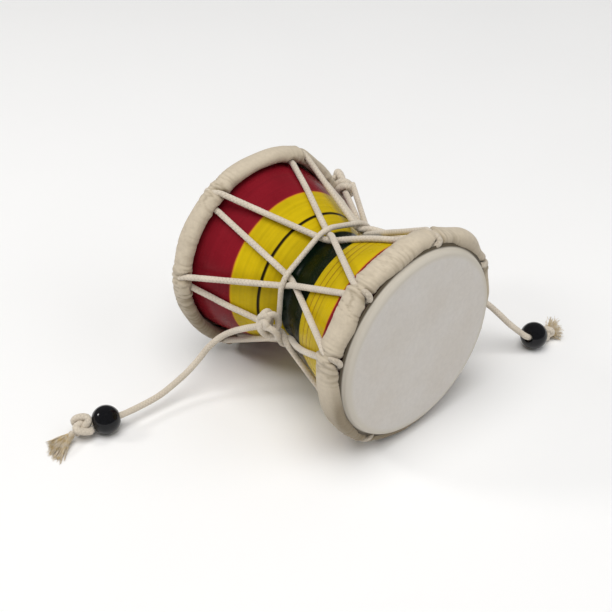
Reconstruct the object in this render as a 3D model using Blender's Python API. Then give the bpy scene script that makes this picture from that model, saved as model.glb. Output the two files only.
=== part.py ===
"""A damaru: a small hourglass drum with two skins, laced hoops and two bead strikers on cords.

The drum lies on its side with its axis along X. Its hoops rest on the floor, at Z = 0.
All lengths are in metres and all angles in degrees. An angle around the drum's axis is
counted from +Y through +Z, so 90 is the top, 180 faces -Y and 270 is the bottom.
"""

import math

import bmesh
import bpy
from mathutils import Matrix, Vector
from mathutils.geometry import interpolate_bezier

# Drum
drum_length = 0.128
head_diameter = 0.100
waist_diameter = 0.060
waist_rounding = 0.0025
flare_power = 1.84
shell_wall = 0.005
skin_thickness = 0.0009
head_edge_radius = 0.0024
head_skirt = 0.0008

# Hoops
hoop_widths = (0.0116, 0.0134)
hoop_thickness = 0.0074
hoop_clearance = 0.00075
hoop_edge_from_face = 0.0030
hoop_corner_rise = 0.0012
hoop_loop_pull = 0.0016
hoop_lobe_angle = 24.0

# Lacing and waist cord
lacing_diameter = 0.0032
waist_cord_diameter = 0.0028
left_loop_overs = (56.0, 121.0, 171.5, 236.5, 295.5, 336.0, 377.5)
left_loop_unders = (67.0, 129.5, 180.0, 245.5, 304.5, 346.0, 388.0)
right_loop_overs = (71.5, 125.5, 160.5, 233.5, 295.5, 337.0, 379.5)
right_loop_unders = (82.0, 131.0, 170.0, 241.5, 304.5, 347.0, 390.5)
waist_node_angles = (51.0, 96.0, 147.0, 202.0, 267.0, 319.0, 361.0)
node_with_left_strand_on_top = (False, True, False, True, False, True, False)
loop_bite = 0.0022
groove_room = 0.0007
loop_turn_reach = 0.0038
strand_rise = 0.0007
strand_rest_shares = (0.28, 0.60)
waist_cord_x = 0.0005
waist_corner_share = 1.3
crossing_x = 0.0050
lacing_knot_loop = 6
lacing_knot_size = (0.0165, 0.0110)
lacing_knot_shift = 0.0040
lacing_end_shares = (0.25, -0.40)

# Strikers
striker_cord_diameter = 0.0034
bead_diameter = 0.0150
bead_bore_clearance = 0.0006
tie_knot_length = 0.0160
tie_knot_diameter = 0.0105
tie_knot_angles = (183.0, 345.0)
tie_knot_shifts = (-0.0005, 0.0010)
end_knot_diameter = 0.0108
tail_lengths = (0.0240, 0.0150)
tail_widths = (0.0160, 0.0100)
tail_thickness = 0.0030
tail_width_shares = ((0.0, 0.45), (0.35, 0.40), (0.70, 0.80), (1.0, 1.0))
tail_drop_share = 0.67
bead_places = ((-0.0440, -0.1142), (0.0603, 0.0998))
bead_directions = ((-0.42, -0.90, -0.08), (-0.13, 0.85, -0.30))
tail_headings = (278.0, 88.0)

# The gap that touching pieces keep, and how finely round shapes are cut
piece_gap = 0.0003
shell_segments = 36
head_segments = 36
hoop_sections = 36
hoop_section_sides = 8
lacing_sides = 6
knot_segments = 8
knot_rings = 6
tail_sides = 8
bead_segments = 16
turn_steps = 4
shell_station_shares = (1, 0.80, 0.60, 0.42, 0.27, 0.15, 0.07)
free_cord_step = 0.0075
curve_steps = 12
smooth_edge_angle = 40.0

# What follows from the sizes above
left_loops = list(zip(left_loop_overs, left_loop_unders))
right_loops = list(zip(right_loop_overs, right_loop_unders))
half_length = drum_length / 2
head_radius = head_diameter / 2
skirt_inner_radius = head_radius - skin_thickness
rim_radius = skirt_inner_radius - piece_gap
shell_half_length = half_length - skin_thickness - piece_gap
skirt_edge_x = half_length - head_edge_radius - head_skirt
waist_radius = waist_diameter / 2
lacing_radius = lacing_diameter / 2
waist_cord_radius = waist_cord_diameter / 2
lacing_clearance = lacing_radius + piece_gap
bead_radius = bead_diameter / 2
bead_bore_radius = striker_cord_diameter / 2 + bead_bore_clearance
bead_centre_height = bead_radius + piece_gap


def remove_everything():
    for thing in list(bpy.data.objects):
        bpy.data.objects.remove(thing, do_unlink=True)


def material(name, colour, roughness):
    made = bpy.data.materials.new(name)
    made.use_nodes = True
    shader = made.node_tree.nodes["Principled BSDF"]
    shader.inputs["Base Color"].default_value = (*colour, 1)
    shader.inputs["Roughness"].default_value = roughness
    shader.inputs["Metallic"].default_value = 0
    return made


def object_from(name, mesh_data, look, parent):
    made = bpy.data.objects.new(name, mesh_data)
    bpy.context.scene.collection.objects.link(made)
    if look:
        mesh_data.materials.append(look)
    made.parent = parent
    return made


def smooth_object(name, bm, look, parent):
    """Turns a bmesh into an object that is shaded smooth, with its faces pointing out."""
    bmesh.ops.recalc_face_normals(bm, faces=bm.faces)
    mesh = bpy.data.meshes.new(name)
    bm.to_mesh(mesh)
    bm.free()
    mesh.shade_smooth()
    mesh.set_sharp_from_angle(angle=math.radians(smooth_edge_angle))
    return object_from(name, mesh, look, parent)


def around(x, radius, angle):
    """A point at a distance along the axis, a distance from the axis and an angle around it."""
    turn = math.radians(angle)
    return Vector((x, radius * math.cos(turn), radius * math.sin(turn)))


def skin_rings(bm, rings, closed):
    """Joins rings of vertices, each a closed loop, into a tube. An open tube gets flat caps."""
    pairs = zip(rings, rings[1:] + rings[:1]) if closed else zip(rings, rings[1:])
    for first, second in pairs:
        for i in range(len(first)):
            j = (i + 1) % len(first)
            bm.faces.new((first[i], first[j], second[j], second[i]))
    if not closed:
        bm.faces.new(reversed(rings[0]))
        bm.faces.new(rings[-1])


def turned(bm, profile, segments):
    """Turns a closed profile of (x, radius) around X. Points at radius 0 become the poles."""
    columns = []
    for x, radius in profile:
        if radius == 0:
            columns.append([bm.verts.new((x, 0, 0))] * segments)
        else:
            step = 360 / segments
            columns.append([bm.verts.new(around(x, radius, i * step)) for i in range(segments)])
    for first, second in zip(columns, columns[1:] + columns[:1]):
        for i in range(segments):
            j = (i + 1) % segments
            corners = dict.fromkeys((first[i], first[j], second[j], second[i]))
            if len(corners) > 2:
                bm.faces.new(corners)


def tube_frames(points):
    """Two unit vectors across each point of a route, carried along it without twisting."""
    along = []
    for i in range(len(points)):
        before = points[max(i - 1, 0)]
        after = points[min(i + 1, len(points) - 1)]
        along.append((after - before).normalized())
    across = along[0].orthogonal().normalized()
    frames = []
    for direction in along:
        across = (across - direction * across.dot(direction)).normalized()
        frames.append((across, direction.cross(across)))
    return frames


def tube(bm, points, radius, sides):
    """A tube with flat ends along a route."""
    rings = []
    for point, (first, second) in zip(points, tube_frames(points)):
        ring = []
        for i in range(sides):
            turn = 2 * math.pi * i / sides
            offset = first * math.cos(turn) + second * math.sin(turn)
            ring.append(bm.verts.new(point + offset * radius))
        rings.append(ring)
    skin_rings(bm, rings, False)


def shell_radius(x):
    """The outer radius of the wooden shell at a distance along the axis."""
    rounded = math.hypot(x, waist_rounding) - waist_rounding
    reach = max(0.0, 1 - rounded / shell_half_length)
    return rim_radius - (rim_radius - waist_radius) * reach**flare_power


def hoop_width(side):
    return hoop_widths[0] if side < 0 else hoop_widths[1]


def hoop_x(side):
    """How far the middle of a hoop lies from the middle of the drum."""
    return half_length - hoop_edge_from_face - hoop_width(side) / 2


# Both hoops fit over the shell and have one outer radius, so the drum rests level
hoop_centre_radius = shell_radius(hoop_x(-1)) + hoop_clearance + hoop_thickness / 2
hoop_outer_radius = hoop_centre_radius + hoop_thickness / 2

# Levels of the cords at a waist node: the shell, one strand, the other strand above it
lower_strand_radius = shell_radius(crossing_x) + lacing_clearance + piece_gap
upper_strand_radius = lower_strand_radius + lacing_diameter + piece_gap
side_strand_radius = lower_strand_radius + piece_gap
waist_cord_node_radius = side_strand_radius + lacing_radius + waist_cord_radius + 3 * piece_gap
strand_spread = math.degrees((lacing_diameter + 4 * piece_gap) / 2 / side_strand_radius)
half_waist_corner = strand_spread * waist_corner_share


def shell_profile():
    """The closed outline of the shell's wall: the outside, a rounded rim, the inside."""
    rim_round = head_edge_radius - skin_thickness - piece_gap
    rim_start = shell_half_length - rim_round
    stations = [-share * rim_start for share in shell_station_shares]
    stations += [0.0] + [-x for x in reversed(stations)]
    outside = [(x, shell_radius(x)) for x in stations]
    half_round = rim_round * math.sin(math.radians(45))
    corner = (rim_start + half_round, rim_radius - rim_round + half_round)
    face = (shell_half_length, rim_radius - rim_round)
    inner_rim = (shell_half_length, shell_radius(shell_half_length) - shell_wall)
    right_rim = [corner, face, inner_rim]
    left_rim = [(-x, radius) for x, radius in reversed(right_rim)]
    inside = [(x, radius - shell_wall) for x, radius in outside[::-2][1:-1]]
    return outside + right_rim + inside + left_rim


def make_shell(look, parent):
    bm = bmesh.new()
    turned(bm, shell_profile(), shell_segments)
    smooth_object("shell", bm, look, parent)


def head_profile():
    """The closed outline of a skin: a flat disc that turns over the rim into a short skirt."""
    arc_x = half_length - head_edge_radius
    arc_radius = head_radius - head_edge_radius
    outer = [(half_length, 0.0), (half_length, arc_radius)]
    inner = [(half_length - skin_thickness, 0.0), (half_length - skin_thickness, arc_radius)]
    for degrees in (45, 90):
        turn = math.radians(degrees)
        for line, reach in ((outer, head_edge_radius), (inner, head_edge_radius - skin_thickness)):
            line.append((arc_x + reach * math.cos(turn), arc_radius + reach * math.sin(turn)))
    outer.append((arc_x - head_skirt, head_radius))
    inner.append((arc_x - head_skirt, skirt_inner_radius))
    return outer + inner[::-1]


def make_head(name, side, look, parent):
    bm = bmesh.new()
    turned(bm, [(side * x, radius) for x, radius in head_profile()], head_segments)
    smooth_object(name, bm, look, parent)


def loop_lobe(angle, loops):
    """1 at a lacing loop's middle, falling to 0 one lobe angle away from it."""
    nearest = min(abs((angle - sum(loop) / 2 + 180) % 360 - 180) for loop in loops)
    if nearest >= hoop_lobe_angle:
        return 0.0
    return (1 + math.cos(math.pi * nearest / hoop_lobe_angle)) / 2


def hoop_section(half_width, half_thickness):
    """The hoop's cross-section as (x, outward) pairs, with a flat on its outer side."""
    step = 360 / hoop_section_sides
    flat = math.cos(math.radians(step / 2))
    section = []
    for i in range(hoop_section_sides):
        turn = math.radians((i + 0.5) * step)
        section.append((half_width * math.sin(turn), half_thickness * math.cos(turn) / flat))
    return section


def make_hoop(name, side, loops, look, parent):
    """A padded ring, drawn a little towards the waist and out to a soft corner at each loop."""
    section = hoop_section(hoop_width(side) / 2, hoop_thickness / 2)
    step = 360 / hoop_sections
    flat = math.cos(math.radians(step / 2))
    bm = bmesh.new()
    rings = []
    for i in range(hoop_sections):
        angle = (i + 0.5) * step
        lobe = loop_lobe(angle, loops)
        x = side * (hoop_x(side) - hoop_loop_pull * lobe)
        rise = hoop_corner_rise * lobe
        ring = [
            bm.verts.new(around(x + side * across, (hoop_centre_radius + rise + out) / flat, angle))
            for across, out in section
        ]
        rings.append(ring)
    skin_rings(bm, rings, True)
    return smooth_object(name, bm, look, parent)


def clear_of_skirt(x, radius):
    """Moves a point of a loop away from the edge of a skin's skirt until the loop clears it."""
    offset = Vector((x - skirt_edge_x, radius - head_radius))
    if offset.length < lacing_clearance:
        offset.length = lacing_clearance
    return skirt_edge_x + offset.x, head_radius + offset.y


def loop_route(side, over_angle, under_angle):
    """A lacing loop around a hoop: over its outer side towards the head, back underneath it.

    The first point lies on the waist side above the hoop and the last one on the waist side
    below it.
    """
    middle_x = hoop_x(side)
    half_width = hoop_width(side) / 2
    reach_x = half_width + lacing_radius - loop_bite
    reach_out = hoop_thickness / 2 + hoop_corner_rise + lacing_radius - loop_bite
    over_places = []
    for degrees in (-60, -30, 0):
        turn = math.radians(degrees)
        x = middle_x - hoop_loop_pull + reach_x * math.sin(turn)
        over_places.append((x, hoop_centre_radius + reach_out * math.cos(turn), over_angle))
    over_radius = hoop_centre_radius + reach_out
    turn_x = middle_x + half_width - loop_turn_reach
    under_radius = shell_radius(turn_x) + lacing_clearance + piece_gap
    turn_places = []
    for step in range(turn_steps + 1):
        share = step / turn_steps
        turn = math.radians(80 - 170 * share)
        x = turn_x + loop_turn_reach * math.cos(turn)
        radius = (over_radius + under_radius) / 2
        radius += (over_radius - under_radius) / 2 * math.sin(turn)
        x, radius = clear_of_skirt(x, radius)
        turn_places.append((x, radius, over_angle + (under_angle - over_angle) * share))
    inner_x = middle_x - half_width
    under_places = [
        (middle_x, shell_radius(middle_x) + lacing_clearance + piece_gap, under_angle),
        (inner_x, shell_radius(inner_x) + lacing_diameter, under_angle),
    ]
    places = over_places + turn_places + under_places
    return [around(side * x, radius, angle) for x, radius, angle in places]


def clear_of_shell(point):
    """Moves a point of a strand straight out until the strand clears the shell."""
    radius = math.hypot(point.y, point.z)
    least = shell_radius(point.x) + lacing_clearance + strand_rise
    if radius >= least:
        return point
    return Vector((point.x, point.y * least / radius, point.z * least / radius))


def strand(start, end):
    """The points between two ends of a strand, resting on the shell where it bulges."""
    return [clear_of_shell(start.lerp(end, share)) for share in strand_rest_shares]


def node_route(node, from_lower_angle):
    """A strand's points at a waist node, from the left drum half to the right one."""
    angle = waist_node_angles[node]
    on_top = node_with_left_strand_on_top[node] == from_lower_angle
    crossing_radius = upper_strand_radius if on_top else lower_strand_radius
    spread = -strand_spread if from_lower_angle else strand_spread
    beside = around(waist_cord_x, side_strand_radius, angle + spread)
    return [beside, around(crossing_x, crossing_radius, angle)]


def joined(first, middle, last):
    """A run of strand from the end of one loop through a waist node to the next loop."""
    return strand(first, middle[0]) + middle + strand(last, middle[-1])[::-1]


def lacing_knot_place(share):
    """A point in the knot where the lacing's ends are tied, a share of its length along it."""
    length, thickness = lacing_knot_size
    angle = left_loop_overs[lacing_knot_loop]
    radius = hoop_outer_radius + hoop_corner_rise + thickness / 2 + piece_gap
    return around(lacing_knot_shift - hoop_x(-1) - share * length, radius, angle)


def lacing_route():
    """The whole lacing: it winds through every loop of both hoops and starts and ends at one.

    At each waist node two strands cross, so the cord steps one loop onward each time that it
    passes from one hoop to the other, and goes around the drum twice.
    """
    count = len(waist_node_angles)
    order = [(lacing_knot_loop + i) % count for i in range(2 * count + 1)]
    points = []
    for step, loop in enumerate(order):
        on_left = step % 2 == 0
        side = -1 if on_left else 1
        loops = left_loops if on_left else right_loops
        wrap = loop_route(side, *loops[loop])
        if step == 0:
            wrap = [lacing_knot_place(lacing_end_shares[0])] + wrap[4:]
        elif step == 2 * count:
            wrap = [lacing_knot_place(lacing_end_shares[1])]
        if points:
            node = loop
            middle = node_route(node, not on_left)
            if on_left:
                middle = middle[::-1]
            points += joined(points[-1], middle, wrap[0])
        points += wrap
    return points


def knot_lump(size, place, direction):
    """A rounded lump for a knot, longest along its direction."""
    bm = bmesh.new()
    bmesh.ops.create_uvsphere(bm, u_segments=knot_segments, v_segments=knot_rings, radius=0.5)
    turn = Vector((0, 0, 1)).rotation_difference(direction).to_matrix().to_4x4()
    length, thickness = size
    scale = Matrix.Diagonal((thickness, thickness, length, 1))
    bmesh.ops.transform(bm, matrix=Matrix.Translation(place) @ turn @ scale, verts=bm.verts)
    return bm


def join_to(piece, other):
    """Joins a helper's shape to a piece and hides the helper."""
    other.hide_render = True
    other.display_type = "WIRE"
    join = piece.modifiers.new(other.name, "BOOLEAN")
    join.operation = "UNION"
    join.object = other


def make_lacing(look, parent):
    bm = bmesh.new()
    route = lacing_route()
    tube(bm, route, lacing_radius, lacing_sides)
    lacing = smooth_object("lacing_cord", bm, look, parent)
    lump = knot_lump(lacing_knot_size, lacing_knot_place(0), Vector((1, 0, 0)))
    join_to(lacing, smooth_object("lacing_knot_shape", lump, None, parent))


def waist_cord_route():
    """The binding cord around the waist: a ring with a soft corner over each node."""
    points = []
    for angle in waist_node_angles:
        for offset in (-half_waist_corner, half_waist_corner):
            points.append(around(waist_cord_x, waist_cord_node_radius, angle + offset))
    return points


def make_waist_cord(look, parent):
    route = waist_cord_route()
    count = len(route)
    bm = bmesh.new()
    rings = []
    axis = Vector((1, 0, 0))
    for i, point in enumerate(route):
        along = (route[(i + 1) % count] - route[i - 1]).normalized()
        outward = along.cross(axis)
        ring = []
        for k in range(lacing_sides):
            turn = 2 * math.pi * k / lacing_sides
            offset = axis * math.cos(turn) + outward * math.sin(turn)
            ring.append(bm.verts.new(point + offset * waist_cord_radius))
        rings.append(ring)
    skin_rings(bm, rings, True)
    smooth_object("waist_cord", bm, look, parent)


def runs_at_hoop(side):
    """The stretches of the lacing's route that pass one hoop, each with a point to spare."""
    edge = hoop_x(side) - hoop_width(side) / 2 - 2 * lacing_diameter
    route = lacing_route()
    near = [side * point.x > edge for point in route]
    runs = []
    for i, point in enumerate(route):
        if not any(near[max(i - 1, 0) : i + 2]):
            continue
        if i and runs and any(near[max(i - 2, 0) : i + 1]):
            runs[-1].append(point)
        else:
            runs.append([point])
    return runs


def cut_loop_grooves(hoop, side):
    """Cuts the groove that each lacing loop presses into the hoop."""
    bm = bmesh.new()
    for run in runs_at_hoop(side):
        tube(bm, run, lacing_radius + groove_room, lacing_sides)
    cutter = smooth_object(hoop.name + "_groove_cutter", bm, None, hoop.parent)
    cutter.hide_render = True
    cutter.display_type = "WIRE"
    cut = hoop.modifiers.new("Loop grooves", "BOOLEAN")
    cut.operation = "DIFFERENCE"
    cut.object = cutter


def smooth_points(route, spacing):
    """Points at about equal steps along a smooth curve through the route's own points."""
    slopes = []
    for i in range(len(route)):
        before = route[max(i - 1, 0)]
        after = route[min(i + 1, len(route) - 1)]
        slopes.append((after - before) / 2)
    fine = [route[0]]
    for i in range(len(route) - 1):
        handle_out = route[i] + slopes[i] / 3
        handle_in = route[i + 1] - slopes[i + 1] / 3
        stretch = interpolate_bezier(
            route[i], handle_out, handle_in, route[i + 1], curve_steps + 1
        )
        fine += stretch[1:]
    lengths = [0.0]
    for first, second in zip(fine, fine[1:]):
        lengths.append(lengths[-1] + (second - first).length)
    count = max(2, round(lengths[-1] / spacing))
    picked = []
    for i in range(count + 1):
        wanted = lengths[-1] * i / count
        k = min(range(len(lengths)), key=lambda index: abs(lengths[index] - wanted))
        picked.append(fine[k])
    return picked


def make_free_cord(name, route, look, parent):
    """A free cord as a round tube with closed ends."""
    curve = bpy.data.curves.new(name, "CURVE")
    curve.dimensions = "3D"
    curve.bevel_depth = striker_cord_diameter / 2
    curve.bevel_resolution = 2
    curve.use_fill_caps = True
    spline = curve.splines.new("POLY")
    points = smooth_points(route, free_cord_step)
    spline.points.add(len(points) - 1)
    for spot, point in zip(spline.points, points):
        spot.co = (*point, 1)
    object_from(name, curve, look, parent)


def turn_to(direction):
    """The rotation that turns +X onto a direction."""
    return Vector((1, 0, 0)).rotation_difference(direction).to_matrix().to_4x4()


def make_bead(name, centre, direction, look, parent):
    """A round bead with a straight bore for its cord."""
    start = math.degrees(math.asin(bead_bore_radius / bead_radius))
    steps = bead_segments // 2
    profile = []
    for i in range(steps + 1):
        turn = math.radians(180 - start - (180 - 2 * start) * i / steps)
        profile.append((bead_radius * math.cos(turn), bead_radius * math.sin(turn)))
    bm = bmesh.new()
    turned(bm, profile, bead_segments)
    place = Matrix.Translation(centre) @ turn_to(direction)
    bmesh.ops.transform(bm, matrix=place, verts=bm.verts)
    smooth_object(name, bm, look, parent)


def waist_cord_run(angle):
    """The waist cord's straight run at an angle: a point on its middle line, and the way out."""
    nodes = sorted(node % 360 for node in waist_node_angles)
    angle = (angle - nodes[0]) % 360 + nodes[0]
    for before, after in zip(nodes, nodes[1:] + [nodes[0] + 360]):
        if angle < after:
            break
    middle = (before + after) / 2
    half_run = math.radians((after - before) / 2 - half_waist_corner)
    level = waist_cord_node_radius * math.cos(half_run)
    point = around(waist_cord_x, level / math.cos(math.radians(angle - middle)), angle)
    return point, around(0, 1, middle)


def make_tie_knot(name, index, leaves, look, parent):
    """A knot on the waist cord. It returns the place where its striker cord comes out."""
    point, outward = waist_cord_run(tie_knot_angles[index])
    out = waist_cord_radius + tie_knot_diameter / 2 + piece_gap
    centre = point + outward * out + Vector((tie_knot_shifts[index], 0, axis_height))
    along_cord = outward.cross(Vector((1, 0, 0)))
    lump = knot_lump((tie_knot_length, tie_knot_diameter), centre, along_cord)
    smooth_object(name, lump, look, parent)
    direction = (leaves - centre).normalized()
    lengthwise = direction.dot(along_cord)
    across_share = (1 - lengthwise**2) / (tie_knot_diameter / 2) ** 2
    along_share = lengthwise**2 / (tie_knot_length / 2) ** 2
    surface = 1 / math.sqrt(across_share + along_share)
    return centre + direction * (surface + piece_gap)


def make_end_knot(name, centre, direction, tail, look, parent):
    """The stop knot beyond a bead, with its cord's end frayed out flat on the floor."""
    bm = knot_lump((end_knot_diameter, end_knot_diameter), centre, direction)
    knot = smooth_object(name, bm, look, parent)
    heading, length, width = tail
    turn = math.radians(heading)
    along = Vector((math.cos(turn), math.sin(turn), 0))
    beside = Vector((-along.y, along.x, 0))
    up = Vector((0, 0, 1))
    floor_level = piece_gap + tail_thickness / 2
    start = centre.copy()
    end = centre + along * (end_knot_diameter / 2 + length)
    end.z = floor_level
    bm = bmesh.new()
    rings = []
    for share, width_share in tail_width_shares:
        middle = start.lerp(end, share)
        middle.z = start.z + (floor_level - start.z) * min(1, share / tail_drop_share)
        half_width = width / 2 * width_share
        ring = []
        for i in range(tail_sides):
            round_turn = 2 * math.pi * i / tail_sides
            offset = beside * half_width * math.cos(round_turn)
            offset += up * tail_thickness / 2 * math.sin(round_turn)
            ring.append(bm.verts.new(middle + offset))
        rings.append(ring)
    skin_rings(bm, rings, False)
    join_to(knot, smooth_object(name + "_tail_shape", bm, None, parent))


def end_knot_place(centre, direction):
    """The middle of the stop knot that touches a bead and lies no lower than the floor."""
    reach = bead_radius + end_knot_diameter / 2 + piece_gap
    drop = min(-direction.z * reach, centre.z - end_knot_diameter / 2 - piece_gap)
    ahead = Vector((direction.x, direction.y, 0)).normalized()
    return centre + ahead * math.sqrt(reach**2 - drop**2) - Vector((0, 0, drop))


def make_striker(side_name, index, route, looks, root):
    """One striker: its tie knot at the waist, its cord, its bead and its end knot."""
    leaves = Vector(route[0])
    start = make_tie_knot(side_name + "_tie_knot", index, leaves, looks["cord"], root)
    centre = Vector((*bead_places[index], bead_centre_height))
    direction = Vector(bead_directions[index]).normalized()
    make_bead(side_name + "_bead", centre, direction, looks["bead"], root)
    knot_centre = end_knot_place(centre, direction)
    tail = (tail_headings[index], tail_lengths[index], tail_widths[index])
    make_end_knot(side_name + "_end_knot", knot_centre, direction, tail, looks["cord"], root)
    before_bead = centre - direction * (bead_radius + piece_gap)
    bore_end = centre + direction * (bead_radius - piece_gap)
    whole = [start] + [Vector(point) for point in route] + [before_bead, centre, bore_end]
    make_free_cord(side_name + "_striker_cord", whole, looks["cord"], root)


# The drum's axis lies this high when the hoops' flat outer sides rest on the floor
axis_height = hoop_outer_radius

# The free cords' routes over the floor, from the waist to the bead
left_cord_route = (
    (-0.0115, -0.0448, 0.0485),
    (-0.0170, -0.0450, 0.0445),
    (-0.0232, -0.0452, 0.0400),
    (-0.0282, -0.0470, 0.0360),
    (-0.0320, -0.0493, 0.0320),
    (-0.0348, -0.0538, 0.0272),
    (-0.0368, -0.0592, 0.0205),
    (-0.0381, -0.0662, 0.0150),
    (-0.0393, -0.0741, 0.0110),
    (-0.0394, -0.0825, 0.0088),
    (-0.0399, -0.0904, 0.0080),
    (-0.0406, -0.0989, 0.0078),
)
right_cord_route = (
    (0.0160, 0.0490, 0.0500),
    (0.0270, 0.0600, 0.0450),
    (0.0360, 0.0700, 0.0385),
    (0.0430, 0.0780, 0.0310),
    (0.0487, 0.0823, 0.0245),
    (0.0530, 0.0852, 0.0195),
    (0.0570, 0.0888, 0.0150),
)


def rest_on_centre(root):
    """Moves the whole drum sideways so that the drum without its strikers is centred on Y."""
    graph = bpy.context.evaluated_depsgraph_get()
    sides = []
    for thing in root.children_recursive:
        if thing.type == "MESH" and not thing.hide_render and thing.parent != root:
            box = thing.evaluated_get(graph).bound_box
            sides += [(thing.matrix_world @ Vector(corner)).y for corner in box]
    root.location.y = -(min(sides) + max(sides)) / 2


def main():
    remove_everything()
    looks = {
        "shell": material("Lacquered wood", (0.42, 0.02, 0.05), 0.2),
        "skin": material("Drum skin", (0.72, 0.68, 0.62), 0.6),
        "hoop": material("Wrapped hoop", (0.76, 0.68, 0.54), 0.8),
        "cord": material("Cotton cord", (0.80, 0.73, 0.60), 0.9),
        "bead": material("Black bead", (0.01, 0.01, 0.012), 0.15),
    }
    root = bpy.data.objects.new("damaru", None)
    drum = bpy.data.objects.new("drum_axis", None)
    for empty in (root, drum):
        bpy.context.scene.collection.objects.link(empty)
    drum.parent = root
    drum.location.z = axis_height
    make_shell(looks["shell"], drum)
    for side_name, side, loops in (("left", -1, left_loops), ("right", 1, right_loops)):
        make_head(side_name + "_head", side, looks["skin"], drum)
        hoop = make_hoop(side_name + "_hoop", side, loops, looks["hoop"], drum)
        cut_loop_grooves(hoop, side)
    make_lacing(looks["cord"], drum)
    make_waist_cord(looks["cord"], drum)
    make_striker("left", 0, left_cord_route, looks, root)
    make_striker("right", 1, right_cord_route, looks, root)
    rest_on_centre(root)


main()
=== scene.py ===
import math

import bmesh
import bpy
import numpy as np
from bpy.props import FloatProperty, FloatVectorProperty, IntProperty, PointerProperty
from bpy.types import Operator, Panel, PropertyGroup
from mathutils import Matrix, Vector, kdtree, noise
from mathutils.geometry import interpolate_bezier


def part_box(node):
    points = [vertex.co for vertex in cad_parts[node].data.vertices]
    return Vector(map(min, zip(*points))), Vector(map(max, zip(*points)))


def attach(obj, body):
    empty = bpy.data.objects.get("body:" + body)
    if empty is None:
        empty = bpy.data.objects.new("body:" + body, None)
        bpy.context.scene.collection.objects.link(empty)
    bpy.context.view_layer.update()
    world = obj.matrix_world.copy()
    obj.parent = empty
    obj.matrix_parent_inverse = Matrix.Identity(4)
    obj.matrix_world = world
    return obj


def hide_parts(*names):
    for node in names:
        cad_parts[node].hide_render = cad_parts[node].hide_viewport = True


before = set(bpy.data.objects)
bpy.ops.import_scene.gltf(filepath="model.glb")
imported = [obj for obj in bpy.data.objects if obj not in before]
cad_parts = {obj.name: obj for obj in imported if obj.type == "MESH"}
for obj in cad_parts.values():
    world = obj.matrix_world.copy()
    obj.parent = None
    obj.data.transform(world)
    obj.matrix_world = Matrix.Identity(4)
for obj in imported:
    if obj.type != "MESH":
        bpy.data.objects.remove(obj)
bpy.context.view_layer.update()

bl_info = {
    "name": "Damaru drum",
    "version": (1, 0, 0),
    "blender": (4, 5, 0),
    "location": "3D View > Sidebar > Damaru",
    "description": "Builds the looks of a laced damaru drum around its packed frame",
    "category": "Add Mesh",
}

# The drum's axis runs along X through the middle of its heads
head_low, head_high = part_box("right_head")
drum_centre = Vector((0, (head_low.y + head_high.y) / 2, (head_low.z + head_high.z) / 2))
axis_vector = Vector((1, 0, 0))

# Angles around the axis, counted from +Y through +Z, of the lacing's loops, over each hoop
# and back under it, and of its waist nodes. The hoops' sides are -1, left, and 1, right.
left_loop_overs = (56.0, 121.0, 171.5, 236.5, 295.5, 336.0, 377.5)
left_loop_unders = (67.0, 129.5, 180.0, 245.5, 304.5, 346.0, 388.0)
right_loop_overs = (71.5, 125.5, 160.5, 233.5, 295.5, 337.0, 379.5)
right_loop_unders = (82.0, 131.0, 170.0, 241.5, 304.5, 347.0, 390.5)
left_loops = tuple(zip(left_loop_overs, left_loop_unders))
right_loops = tuple(zip(right_loop_overs, right_loop_unders))
hoop_loops = {-1: left_loops, 1: right_loops}
waist_node_angles = (51.0, 96.0, 147.0, 202.0, 267.0, 319.0, 361.0)
node_with_left_strand_on_top = (False, True, False, True, False, True, False)
lacing_knot_loop = 6

# Where a hoop's outside swells or flattens: the angle, half the width in degrees, and the rise
left_hoop_swells = ((92.0, 26.0, -0.0013), (205.0, 22.0, -0.0006))
right_hoop_swells = ((76.0, 14.0, -0.0016), (47.0, 18.0, 0.0030), (24.0, 16.0, 0.0014))
hoop_swells = {-1: left_hoop_swells, 1: right_hoop_swells}

# The strikers' routes, from the waist to the bead, before the drum is centred over the origin
left_cord_route = (
    (-0.0115, -0.0448, 0.0485),
    (-0.0170, -0.0450, 0.0445),
    (-0.0232, -0.0452, 0.0400),
    (-0.0282, -0.0470, 0.0360),
    (-0.0320, -0.0493, 0.0320),
    (-0.0348, -0.0538, 0.0272),
    (-0.0368, -0.0592, 0.0205),
    (-0.0381, -0.0662, 0.0150),
    (-0.0393, -0.0741, 0.0110),
    (-0.0394, -0.0825, 0.0088),
    (-0.0399, -0.0904, 0.0080),
    (-0.0406, -0.0989, 0.0078),
)
right_cord_route = (
    (0.0160, 0.0490, 0.0500),
    (0.0270, 0.0600, 0.0450),
    (0.0360, 0.0700, 0.0385),
    (0.0430, 0.0780, 0.0310),
    (0.0487, 0.0823, 0.0245),
    (0.0530, 0.0852, 0.0195),
    (0.0570, 0.0888, 0.0150),
)
left_bead_direction = Vector((-0.42, -0.90, -0.08)).normalized()
right_bead_direction = Vector((-0.13, 0.85, -0.30)).normalized()
right_knot_direction = Vector((0.10, 0.88, -0.36)).normalized()

# Each end knot: its way from the bead, its shares of the full size and of the full neck, the
# neck's height in cord diameters, the threads' lift and droop, and the headings and reaches of
# their locks
left_locks = ((234, 0.0120), (249, 0.0118), (265, 0.0128), (282, 0.0142), (298, 0.0154))
right_locks = ((122, 0.0125), (108, 0.0132), (86, 0.0098), (62, 0.0082), (40, 0.0072))
tufts = (
    ("left", left_bead_direction, 1.0, 1.0, 1.3, (0.0042, 0.6), left_locks),
    ("right", right_knot_direction, 0.72, 0.3, 1.2, (0.0075, 0.3), right_locks),
)
neck_length = 0.0028

# How the threads of a tuft scatter: headings and bends in degrees, lengths, and roots
heading_spread = 4.5
bend_spread = 6
most_bend = 14
thread_lengths = (0.86, 1.03)
root_spread = 0.0008
most_root_spread = 0.0015
sway_reach = 0.0005

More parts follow.
